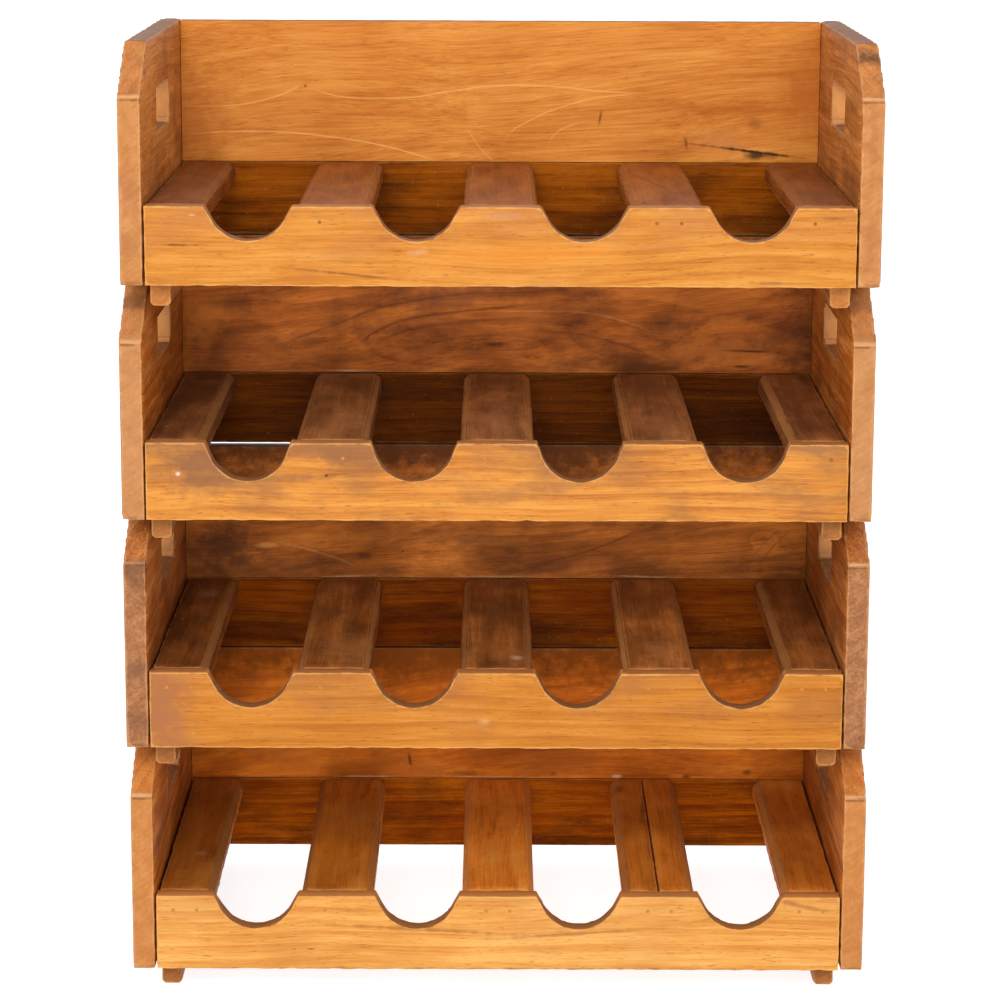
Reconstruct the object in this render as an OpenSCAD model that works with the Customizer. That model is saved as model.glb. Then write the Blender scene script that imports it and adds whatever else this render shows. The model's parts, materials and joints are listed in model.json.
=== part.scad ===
// Stacking wine rack: four open-fronted crates made of reclaimed boards, each for four bottles.
// Every crate is two side boards, two rails, a back board, slats that run front to back,
// and two cleats that drop inside the crate below and lock the stack.
// Millimetres. +Z is up, the front faces -Y, and the origin is on the floor under the middle.

/* [Crate] */
// Width over the side boards
crate_w = 560; // [460:1:700]
// Depth from the front face to the back face
crate_d = 330; // [300:1:380]
// Height of one crate's side boards, which is also the stacking pitch
crate_h = 176; // [165:1:220]
// How far each crate sits off the centre line, from the lowest crate up
crate_shift = [1, -1, -1, 1]; // [-1:0.5:1]

/* [Side boards] */
// Thickness of the side boards
side_t = 18; // [14:0.5:24]
// Height at which the front edge starts to slope back, from the lowest crate up
slope_start = [139, 144, 135, 139]; // [120:1:155]
// Length of the sloped corner, measured along the depth
slope_run = 58; // [30:1:90]
// Length of the hand hole
hand_hole_l = 97; // [80:1:120]
// Height of the hand hole
hand_hole_h = 33; // [28:1:40]
// Height of the hand hole's centre
hand_hole_z = 118.5; // [100:0.5:130]
// Corner radius of the hand hole
hand_hole_r = 5; // [2:0.5:14]

/* [Rails and back] */
// Height of the front and back rails
rail_h = 60; // [52:1:75]
// Thickness of the rails and of the back board
rail_t = 16; // [12:0.5:22]
// Gap above the back board, under the next crate
back_gap = 1; // [0.5:0.5:4]

/* [Bottle notches] */
// Distance between the centres of neighbouring notches
notch_pitch = 123.5; // [95:0.5:140]
// Depth of the notches below the rail's top edge, from the lowest crate up
notch_depth = [26, 27, 29, 25.5]; // [20:0.5:30]
// Radius of the notch's round bottom
notch_r = 30; // [26:0.5:34]
// Angle of the notches' straight flanks above the horizontal, from the lowest crate up
notch_flank = [61, 63, 68, 60]; // [50:1:70]
// Width of the bevel at the notch's top corners
notch_bevel = 1.5; // [0.5:0.5:3]

/* [Slats] */
// Thickness of the slats
slat_t = 16; // [12:0.5:20]
// Width of the slats between two notches
slat_w = 55.5; // [40:0.5:58]
// Width of the slats beside the side boards
end_slat_w = 42.5; // [30:0.5:43]
// Gap between an end slat and its side board
slat_gap = 1.5; // [1:0.5:4]
// Bevel along the slats' top edges
slat_bevel = 5; // [2:0.5:7]

/* [Cleats] */
// Width of a cleat
cleat_w = 16; // [12:0.5:22]
// How far a cleat hangs below its crate
cleat_drop = 17; // [10:1:22]
// Gap between a cleat and the inner face of the side boards
cleat_inset = 2.5; // [2.5:0.5:5]
// Gap between the back end of a cleat and the back rail
cleat_end_gap = 2; // [1:0.5:4]
// Bevel along a cleat's bottom edges
cleat_bevel = 2.5; // [1:0.5:4]

/* [Nails] */
// Diameter of a nail's shank
nail_d = 2; // [1.5:0.1:2.5]
// Diameter of a nail's head
nail_head_d = 3.4; // [3:0.1:5]
// Thickness of a nail's head
nail_head_t = 1; // [0.6:0.1:1.2]
// Length of a nail
nail_l = 40; // [35:1:45]
// Distance between the two nails in one slat's end
nail_pair = 18; // [12:1:24]
// Depth of the slat nails below the rail's top edge
nail_drop = 12; // [9:0.5:14]

/* [Hidden] */
$fn = 32;
CRATES = 4;
SLATS = 5;
LEFT = -1;
RIGHT = 1;
FRONT = -1;
BACK = 1;
inner_w = crate_w - 2 * side_t;
slat_l = crate_d - 2 * rail_t;
// How far a cut-out reaches past the faces of its board
cut = 1;

// Crate 1 has a fourth slat that is glued up from two strips, so it lists one slat more
slat_names = ["slat_1", "slat_2", "slat_3", "slat_4", "slat_5"];
split_slat_names = ["slat_1", "slat_2", "slat_3", "slat_4_left_strip", "slat_4_right_strip", "slat_5"];
board_names = ["left_side", "right_side", "front_rail", "back_rail", "back_panel",
    "left_cleat", "right_cleat", "slat_nails", "side_nails"];

// Wood tones, one row per crate: sides, rails, back, slats, cleats
side_tone = ["#c98a55", "#b9835c", "#c08350", "#c98d57"];
rail_tone = ["#e0a25a", "#d58b3c", "#dc9443", "#e2a04f"];
back_tone = ["#b4662a", "#9c5a28", "#7a4826", "#d9924a"];
slat_tone = ["#9c5420", "#70401c", "#6d3f1f", "#8a5428"];
cleat_tone = ["#b26d33", "#a8876a", "#b4702f", "#d69a4e"];
nail_tone = "#5b4a3d";

function crate_base(n) = cleat_drop + (n - 1) * crate_h;
// How far a notch's round bottom turns before a flank leaves it
function flank_start(n) = notch_flank[n - 1] + 4;
// Half the width of a notch where its flanks reach the rail's top
function notch_top_half(n) = notch_r * sin(flank_start(n))
    + (notch_depth[n - 1] - notch_r * (1 - cos(flank_start(n)))) / tan(notch_flank[n - 1]);
// Centre of notch i, from 0 at the left to 3 at the right
function notch_x(i) = (i - 1.5) * notch_pitch;
// Left edge, right edge and centre of slat i, from 1 at the left to 5 at the right
function slat_left(i) = i == 1 ? slat_gap - inner_w / 2
    : i == SLATS ? inner_w / 2 - slat_gap - end_slat_w
    : (i - 3) * notch_pitch - slat_w / 2;
function slat_right(i) = slat_left(i) + (i == 1 || i == SLATS ? end_slat_w : slat_w);
function slat_mid(i) = (slat_left(i) + slat_right(i)) / 2;

// Puts a crate's parts at its place in the stack
module in_crate(n) {
    translate([crate_shift[n - 1], 0, crate_base(n)]) children();
}

// Turns a profile drawn across the width and height into a board that runs back from y
module along_depth(y, length) {
    translate([0, y + length, 0]) rotate([90, 0, 0]) linear_extrude(length) children();
}

module hand_hole_outline() {
    long = hand_hole_l - 2 * hand_hole_r;
    high = hand_hole_h - 2 * hand_hole_r;
    square([hand_hole_l, high], center = true);
    square([long, hand_hole_h], center = true);
    for (sx = [-1, 1], sy = [-1, 1]) translate([sx * long / 2, sy * high / 2]) circle(hand_hole_r);
}

module side_board(n, side) {
    front = -crate_d / 2;
    x = side == LEFT ? -crate_w / 2 : crate_w / 2 - side_t;
    color(side_tone[n - 1])
    in_crate(n)
    translate([x, 0, 0])
    rotate([90, 0, 90])
    difference() {
        linear_extrude(side_t) polygon([
            [front, 0], [crate_d / 2, 0], [crate_d / 2, crate_h],
            [front + slope_run, crate_h], [front, slope_start[n - 1]]
        ]);
        translate([0, hand_hole_z, -cut]) linear_extrude(side_t + 2 * cut) hand_hole_outline();
    }
}

// The round bottom, and flanks that leave it where it has turned by flank_start
module notch_outline(n) {
    flank = notch_flank[n - 1];
    arc_z = rail_h - notch_depth[n - 1] + notch_r;
    leave_x = notch_r * sin(flank_start(n));
    leave_z = arc_z - notch_r * cos(flank_start(n));
    // The flanks start a little inside the circle, half way along the chord that they cut from it
    inside = notch_r * sin(flank_start(n) - flank);
    foot_x = leave_x - inside * cos(flank);
    foot_z = leave_z - inside * sin(flank);
    bevel_z = rail_h - notch_bevel;
    bevel_x = notch_top_half(n) - notch_bevel / tan(flank);
    top_x = bevel_x + notch_bevel;
    translate([0, arc_z]) circle(notch_r, $fn = 96);
    polygon([
        [-foot_x, foot_z], [foot_x, foot_z], [bevel_x, bevel_z], [top_x, rail_h],
        [top_x, rail_h + cut], [-top_x, rail_h + cut], [-top_x, rail_h], [-bevel_x, bevel_z]
    ]);
}

module front_rail(n) {
    color(rail_tone[n - 1])
    in_crate(n)
    along_depth(-crate_d / 2, rail_t)
    difference() {
        translate([-inner_w / 2, 0]) square([inner_w, rail_h]);
        for (i = [0:3]) translate([notch_x(i), 0]) notch_outline(n);
    }
}

module back_rail(n) {
    color(back_tone[n - 1])
    in_crate(n)
    along_depth(crate_d / 2 - rail_t, rail_t)
    translate([-inner_w / 2, 0]) square([inner_w, rail_h]);
}

module back_panel(n) {
    color(back_tone[n - 1])
    in_crate(n)
    along_depth(crate_d / 2 - rail_t, rail_t)
    translate([-inner_w / 2, rail_h]) square([inner_w, crate_h - rail_h - back_gap]);
}

// A slat, or one strip of a slat, with a bevel on the top edges that are asked for
module slat_board(n, left, right, left_bevel, right_bevel) {
    color(slat_tone[n - 1])
    in_crate(n)
    along_depth(-slat_l / 2, slat_l)
    polygon([
        [left, rail_h - slat_t], [right, rail_h - slat_t],
        [right, rail_h - right_bevel], [right - right_bevel, rail_h],
        [left + left_bevel, rail_h], [left, rail_h - left_bevel]
    ]);
}

module slat(n, i) {
    slat_board(n, slat_left(i), slat_right(i), slat_bevel, slat_bevel);
}

module slat_strip(n, i, side) {
    // A plain joint keeps a hair's bevel, so the two strips read as two boards
    joint_bevel = 0.5;
    middle = slat_mid(i);
    if (side == LEFT) slat_board(n, slat_left(i), middle, slat_bevel, joint_bevel);
    else slat_board(n, middle, slat_right(i), joint_bevel, slat_bevel);
}

module cleat(n, side) {
    outer = inner_w / 2 - cleat_inset;
    left = side == LEFT ? -outer : outer - cleat_w;
    right = left + cleat_w;
    color(cleat_tone[n - 1])
    in_crate(n)
    along_depth(-slat_l / 2, slat_l - cleat_end_gap)
    polygon([
        [left + cleat_bevel, -cleat_drop], [right - cleat_bevel, -cleat_drop],
        [right, cleat_bevel - cleat_drop], [right, rail_h - slat_t],
        [left, rail_h - slat_t], [left, cleat_bevel - cleat_drop]
    ]);
}

// A lost-head nail driven along -Z, with its head flush at the origin
module nail() {
    rotate([180, 0, 0]) {
        cylinder(d = nail_head_d, h = nail_head_t);
        cylinder(d = nail_d, h = nail_l);
    }
}

// Nails through both rails into the slats' ends, and down through the end slats into the cleats
module slat_nails(n) {
    color(nail_tone)
    in_crate(n) {
        for (i = [1:SLATS], side = [-1, 1], face = [FRONT, BACK])
            translate([slat_mid(i) + side * nail_pair / 2, face * crate_d / 2, rail_h - nail_drop])
            rotate([-face * 90, 0, 0])
            nail();
        for (side = [LEFT, RIGHT], y = [-1, 0, 1])
            translate([side * (inner_w / 2 - cleat_inset - cleat_w / 2), y * slat_l / 3, rail_h])
            nail();
    }
}

// Nails through the side boards into the ends of the rails and of the back board
module side_nails(n) {
    rail_rows = [rail_h / 4, 3 * rail_h / 4];
    back_rows = [for (k = [1, 3, 5]) rail_h + k * (crate_h - rail_h) / 6];
    color(nail_tone)
    in_crate(n)
    for (side = [LEFT, RIGHT], face = [FRONT, BACK])
        for (z = face == FRONT ? rail_rows : concat(rail_rows, back_rows))
            translate([side * crate_w / 2, face * (crate_d - rail_t) / 2, z])
            rotate([0, side * 90, 0])
            nail();
}

for (n = [1:CRATES]) {
    side_board(n, LEFT);
    side_board(n, RIGHT);
    front_rail(n);
    back_rail(n);
    back_panel(n);
    cleat(n, LEFT);
    cleat(n, RIGHT);
    slat_nails(n);
    side_nails(n);
    for (i = [1:SLATS])
        if (!(n == 1 && i == 4))
            slat(n, i);
}
slat_strip(1, 4, LEFT);  // crate_1_slat_4_left_strip
slat_strip(1, 4, RIGHT);  // crate_1_slat_4_right_strip
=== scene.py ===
# %% [markdown]
# # A wine rack of four stacked crates
#
# The real rack is four open-fronted crates made of reclaimed hardwood boards. Each holds four
# bottles in round notches, and two cleats under every crate drop inside the one below.
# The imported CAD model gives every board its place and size. This notebook re-makes each board
# the way a joiner would: sawn, eased, worn along its edges, nailed and waxed.

# %% Load the frame
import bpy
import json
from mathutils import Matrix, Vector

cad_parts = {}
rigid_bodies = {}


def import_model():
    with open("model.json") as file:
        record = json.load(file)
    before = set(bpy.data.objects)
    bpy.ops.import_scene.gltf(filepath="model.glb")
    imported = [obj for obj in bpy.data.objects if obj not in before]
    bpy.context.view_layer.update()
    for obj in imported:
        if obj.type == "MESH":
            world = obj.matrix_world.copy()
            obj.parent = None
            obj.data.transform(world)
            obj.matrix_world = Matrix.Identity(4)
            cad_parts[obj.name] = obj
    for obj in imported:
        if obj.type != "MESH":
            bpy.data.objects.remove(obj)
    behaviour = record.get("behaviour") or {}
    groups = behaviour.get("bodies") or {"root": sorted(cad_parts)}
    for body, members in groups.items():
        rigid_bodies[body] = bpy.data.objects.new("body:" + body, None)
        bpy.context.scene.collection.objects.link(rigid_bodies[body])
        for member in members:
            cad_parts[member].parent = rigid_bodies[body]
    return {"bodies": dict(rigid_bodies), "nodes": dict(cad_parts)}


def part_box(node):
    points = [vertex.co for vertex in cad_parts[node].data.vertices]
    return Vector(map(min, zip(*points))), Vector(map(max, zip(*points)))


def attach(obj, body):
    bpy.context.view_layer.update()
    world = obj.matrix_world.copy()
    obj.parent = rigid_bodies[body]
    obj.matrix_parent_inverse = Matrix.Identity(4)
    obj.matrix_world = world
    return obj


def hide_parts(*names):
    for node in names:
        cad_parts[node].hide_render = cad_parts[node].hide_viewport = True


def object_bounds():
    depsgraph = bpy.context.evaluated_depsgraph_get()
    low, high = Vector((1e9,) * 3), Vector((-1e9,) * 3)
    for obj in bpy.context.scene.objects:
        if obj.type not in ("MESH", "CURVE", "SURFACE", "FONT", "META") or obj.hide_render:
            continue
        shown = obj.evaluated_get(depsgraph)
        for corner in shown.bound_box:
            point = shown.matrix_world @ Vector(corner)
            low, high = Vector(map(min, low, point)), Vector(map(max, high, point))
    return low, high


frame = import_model()
cad_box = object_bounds()
print("CAD box:", cad_box)

# %% Other tools, the unit and the names
import json
import math

import bmesh
import bpy
from mathutils import Vector

MM = 0.001
CRATES = sorted(frame["bodies"])
print("crates:", CRATES)

# %% [markdown]
# ## Camera
#
# The rack is seen from the front and from a little above its top. A long lens keeps the sides
# of the stack nearly upright. The camera could be aimed with a constraint, but three plain
# angles are easier to read and to repeat.

# %% Camera
LENS, SENSOR_WIDTH = 118.7, 36
CAMERA_SIDE, CAMERA_AWAY, CAMERA_HEIGHT = -0.0044, 2.403, 0.8864
CAMERA_TURN = (78.235, -0.22, -0.09)
camera_data = bpy.data.cameras.new("camera")
camera_data.lens = LENS
camera_data.sensor_width = SENSOR_WIDTH
camera = bpy.data.objects.new("camera", camera_data)
camera.location = (CAMERA_SIDE, cad_box[0][1] - CAMERA_AWAY, CAMERA_HEIGHT)
camera.rotation_euler = [math.radians(angle) for angle in CAMERA_TURN]
bpy.context.scene.collection.objects.link(camera)
bpy.context.scene.camera = camera
print("camera stands", round(-camera.location.y, 2), "m in front of the rack's middle")

# %% [markdown]
# ## Floor and light
#
# A white sheet under the rack and a white room around it give soft light from everywhere, so
# the bays get darker towards the back and under each crate. The key lamp stands above the
# camera, so each crate shades the back of the slats below it. A weak lamp on each side throws
# the slats' shadows onto the back rails, and one at the camera's height lights the back boards.

# %% Floor and room
FLOOR_SIZE, FLOOR_GREY, FLOOR_GLOW = 60, 0.4, 0.85
bpy.ops.object.select_all(action="DESELECT")
bpy.ops.mesh.primitive_plane_add(size=FLOOR_SIZE, location=(0, 0, 0))
floor = bpy.context.object
floor.name = "floor"

floor_paint = bpy.data.materials.new("white_paper")
floor_paint.use_nodes = True
paper = floor_paint.node_tree.nodes["Principled BSDF"]
paper.inputs["Base Color"].default_value = (FLOOR_GREY, FLOOR_GREY, FLOOR_GREY, 1)
paper.inputs["Roughness"].default_value = 0.9
paper.inputs["Emission Color"].default_value = (1, 1, 1, 1)
paper.inputs["Emission Strength"].default_value = FLOOR_GLOW
floor.data.materials.append(floor_paint)

world = bpy.data.worlds.new("white_room")
world.use_nodes = True
world.node_tree.nodes["Background"].inputs["Color"].default_value = (1, 1, 1, 1)
world.node_tree.nodes["Background"].inputs["Strength"].default_value = 1.0
bpy.context.scene.world = world
bpy.context.scene.view_settings.view_transform = "Standard"
print("floor", FLOOR_SIZE, "m wide, in a white room")


# %% Lamps
def soft_lamp(name, place, target, size, watts):
    """Adds a square area lamp at a place, turned towards a target."""
    data = bpy.data.lights.new(name, "AREA")
    data.size = size
    data.energy = watts
    lamp = bpy.data.objects.new(name, data)
    lamp.location = place
    lamp.rotation_euler = (Vector(target) - Vector(place)).to_track_quat("-Z", "Y").to_euler()
    bpy.context.scene.collection.objects.link(lamp)
    print(name, watts, "W")


soft_lamp("key_lamp", (-0.4, -2.6, 1.7), (0, 0, 0.35), 0.8, 32)
soft_lamp("left_lamp", (-1.5, -1.9, 1.6), (0, 0, 0.4), 0.7, 6)
soft_lamp("right_lamp", (1.5, -1.9, 1.6), (0, 0, 0.4), 0.7, 6)
soft_lamp("front_lamp", (0.1, -3.0, 0.8), (0, 0, 0.35), 1.0, 18)

# %% [markdown]
# ## Bench tools
#
# Each board starts as a cube that is stretched over its CAD box in edit mode, so its object
# stays at the origin. Edges and faces are then picked by place or direction, as a joiner marks
# a board before cutting it. Picking in code and cutting with the edit tools keeps every step
# repeatable.


# %% Starting a board
def clear_bench():
    """Leaves edit mode and deselects everything, so that a tool can't touch another piece."""
    if bpy.context.object and bpy.context.object.mode != "OBJECT":
        bpy.ops.object.mode_set(mode="OBJECT")
    bpy.ops.object.select_all(action="DESELECT")


def pick_up(board):
    """Selects just this board and makes it the active object."""
    clear_bench()
    board.select_set(True)
    bpy.context.view_layer.objects.active = board


def sawn_block(name, low, high):
    """Stretches a new cube over the box from low to high, and leaves it in edit mode."""
    clear_bench()
    bpy.ops.mesh.primitive_cube_add(size=1, location=(0, 0, 0))
    board = bpy.context.object
    board.name = board.data.name = name
    bpy.ops.object.mode_set(mode="EDIT")
    bpy.ops.transform.resize(value=high - low)
    bpy.ops.transform.translate(value=(low + high) / 2)
    return board


def mark_edges(board, wanted):
    """Selects the edges for which wanted(middle, direction) is true."""
    bpy.ops.mesh.select_mode(type="EDGE")
    bpy.ops.mesh.select_all(action="DESELECT")
    shape = bmesh.from_edit_mesh(board.data)
    for edge in shape.edges:
        start, end = edge.verts[0].co, edge.verts[1].co
        edge.select_set(bool(wanted((start + end) / 2, (end - start).normalized())))
    bmesh.update_edit_mesh(board.data)


def mark_faces(board, wanted):
    """Selects the faces for which wanted(middle, normal) is true."""
    bpy.ops.mesh.select_mode(type="FACE")
    bpy.ops.mesh.select_all(action="DESELECT")
    shape = bmesh.from_edit_mesh(board.data)
    for face in shape.faces:
        face.select_set(bool(wanted(face.calc_center_median(), face.normal)))
    bmesh.update_edit_mesh(board.data)


# %% Cutting a board
def score(board, point, normal, clear=False):
    """Cuts the board with a plane. With clear, what lies on the normal's side falls off."""
    bpy.ops.mesh.select_all(action="SELECT")
    bpy.ops.mesh.bisect(plane_co=point, plane_no=normal, clear_outer=clear, use_fill=clear)


def rule(board, steps=(5 * MM, 5 * MM, 5 * MM)):
    """Scores even lines across the board, about steps[axis] metres apart, to give it cells."""
    corners = [v.co.copy() for v in bmesh.from_edit_mesh(board.data).verts]
    for axis, step in enumerate(steps):
        low, high = min(c[axis] for c in corners), max(c[axis] for c in corners)
        count = max(1, round((high - low) / step))
        for k in range(1, count):
            point, normal = Vector((0, 0, 0)), Vector((0, 0, 0))
            point[axis] = low + (high - low) * k / count
            normal[axis] = 1
            score(board, point, normal)


def ease(board, width=1.2 * MM, segments=2):
    """Rounds every sharp edge of the board a little, as sandpaper does."""
    bpy.ops.mesh.select_mode(type="EDGE")
    bpy.ops.mesh.select_all(action="DESELECT")
    bpy.ops.mesh.edges_select_sharp(sharpness=math.radians(25))
    bpy.ops.mesh.bevel(offset=width, segments=segments, profile=0.5, clamp_overlap=False)


def use_modifier(board, kind, **settings):
    """Adds a modifier with these settings to the board and applies it."""
    pick_up(board)
    modifier = board.modifiers.new(kind.lower(), kind)
    for key, value in settings.items():
        setattr(modifier, key, value)
    bpy.ops.object.modifier_apply(modifier=modifier.name)


def cut_away(board, cutter):
    """Cuts the cutter's shape out of the board, and throws the cutter away."""
    use_modifier(board, "BOOLEAN", operation="DIFFERENCE", object=cutter, solver="EXACT")
    bpy.data.objects.remove(cutter)


def copy_board(board, name, offset):
    """Makes another board like this one, with its own mesh, moved by the offset."""
    pick_up(board)
    bpy.ops.object.duplicate()
    twin = bpy.context.object
    twin.name = twin.data.name = name
    bpy.ops.object.mode_set(mode="EDIT")
    bpy.ops.mesh.select_all(action="SELECT")
    bpy.ops.transform.translate(value=offset)
    clear_bench()
    return twin


# %% [markdown]
# ## Wear
#
# No face on an old board is flat and no edge is straight. Three cloud textures push the surface
# in: a wide shallow one over the faces for the plane's work, a slow one along the edges, and a
# fast one with hard contrast that bites only here and there, as a knock does. All of them push
# inwards, so a board never grows past its CAD box. The same edge points carry an edge value,
# which the wood finish reads to paint them pale: partly rubbed wear, partly a painted highlight
# where light catches the edges.

# %% Wearing a board
EDGE_TURN = math.radians(15)


def clouds(name, size, contrast=1.0, depth=2):
    """Makes a cloud texture whose lumps are about this wide, in metres."""
    texture = bpy.data.textures.new(name, "CLOUDS")
    texture.noise_scale = size
    texture.noise_depth = depth
    texture.contrast = contrast
    return texture


plane_marks = clouds("plane_marks", 60 * MM)
slow_waves = clouds("slow_waves", 35 * MM)
knocks = clouds("knocks", 9 * MM, contrast=2.0, depth=1)
print("three cloud textures")


def wear_and_edge_highlight(board, node, faces=0.3 * MM, edges=0.6 * MM, chips=0.7 * MM):
    """Makes the board's faces, edges and corners uneven, always inside its CAD box, and marks its
    edge points for pale edges, partly wear and partly painted highlight.
    """
    clear_bench()
    shape = bmesh.new()
    shape.from_mesh(board.data)
    turned = []
    for vertex in shape.verts:
        turns = [abs(e.calc_face_angle(0)) for e in vertex.link_edges if len(e.link_faces) == 2]
        turned.append(1.0 if turns and max(turns) > EDGE_TURN else 0.0)
    shape.free()
    group = board.vertex_groups.new(name="edges")
    group.add([i for i, value in enumerate(turned) if value], 1.0, "REPLACE")
    attribute = board.data.attributes.new("wear_and_edge_highlight", "FLOAT", "POINT")
    attribute.data.foreach_set("value", turned)
    for texture, depth, where in ((plane_marks, faces, ""), (slow_waves, edges, "edges"),
                                  (knocks, chips, "edges")):
        use_modifier(board, "DISPLACE", texture=texture, texture_coords="LOCAL",
                     vertex_group=where, strength=depth, mid_level=1.0)
    board.vertex_groups.clear()
    low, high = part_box(node)
    for vertex in board.data.vertices:
        vertex.co = [min(max(vertex.co[i], low[i]), high[i]) for i in range(3)]


# %% [markdown]
# ## Handing a board over
#
# Wood grain is a solid thing: a board is a slice of a log, so rings, fibres and end grain all
# follow from where the log's heart was. Each board stores that point in a "log" attribute, and
# a "tone" that makes it a little darker or paler than its neighbours. The board then takes its
# finish, rides with its crate, and stands in for its CAD node.


# %% Finishing a board
SMOOTH_BELOW = math.radians(35)


def stand_in(piece, node, finish):
    """Gives the piece its finish and its crate, and puts it in the CAD node's stead."""
    pick_up(piece)
    piece.data.materials.clear()
    piece.data.materials.append(finish)
    bpy.ops.object.shade_smooth_by_angle(angle=SMOOTH_BELOW)
    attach(piece, node[:len(CRATES[0])])
    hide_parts(node)


def hand_over(board, node, finish, log=(0, 0, 0), tone=1.0, outside=1.0):
    """Stores the board's log point (mm from its middle) and tone, and lets it stand in.

    A board's rear face can be paler than the rest of it, by the factor outside, where its other
    faces carry painted shade.
    """
    low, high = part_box(node)
    heart = (low + high) / 2 / MM + Vector(log)
    points = board.data.vertices
    logs = board.data.attributes.new("log", "FLOAT_VECTOR", "POINT")
    logs.data.foreach_set("vector", list(heart) * len(points))
    tones = board.data.attributes.new("tone", "FLOAT", "POINT")
    tones.data.foreach_set("value", [tone * (outside if point.co.y > high.y - MM else 1.0)
                                     for point in points])
    stand_in(board, node, finish)


# %% [markdown]
# ## Colours and nodes
#
# Every colour is written as the hex value that a screen shows and is turned to linear light by
# one function. One more function adds a node, sets what is plain on it and links the rest, so
# the finishes below read as a list of what is laid over what.


# %% Colour and node helpers
def linear(hex_colour):
    """Turns #rrggbb into linear red, green, blue and full alpha."""
    parts = [int(hex_colour[i:i + 2], 16) / 255 for i in (1, 3, 5)]
    return tuple(p / 12.92 if p <= 0.04045 else ((p + 0.055) / 1.055) ** 2.4 for p in parts) + (1,)


def lay(tree, kind, inputs=None, **settings):
    """Adds a node, sets its settings, and links or sets its inputs. Returns the node.

    A hex colour becomes linear light on its way in.
    """
    node = tree.nodes.new("ShaderNode" + kind)
    for key, value in settings.items():
        setattr(node, key, value)
    for key, value in (inputs or {}).items():
        if isinstance(value, bpy.types.NodeSocket):
            tree.links.new(value, node.inputs[key])
        else:
            node.inputs[key].default_value = linear(value) if isinstance(value, str) else value
    return node


def set_ramp(node, stops):
    """Sets a colour ramp's stops, each a place and a colour or a grey value."""
    elements = node.color_ramp.elements
    while len(elements) < len(stops):
        elements.new(0.5)
    for element, (place, colour) in zip(elements, stops):
        element.position = place
        element.color = linear(colour) if isinstance(colour, str) else (colour,) * 3 + (1,)


# %% [markdown]
# ## Grain
#
# The boards are a teak-like hardwood. Up close there are five things to see: growth rings cut
# at a slant, which show as long flames with a thin pale line between years; broad streaks along
# the board; fine fibres; short dark pores; and slow patches where wax and hands darkened it.
# They are drawn in three dimensions, in millimetres and with X along the grain, so end grain
# comes out right by itself. One node group holds them, and each finish says how strong they are.


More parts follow.
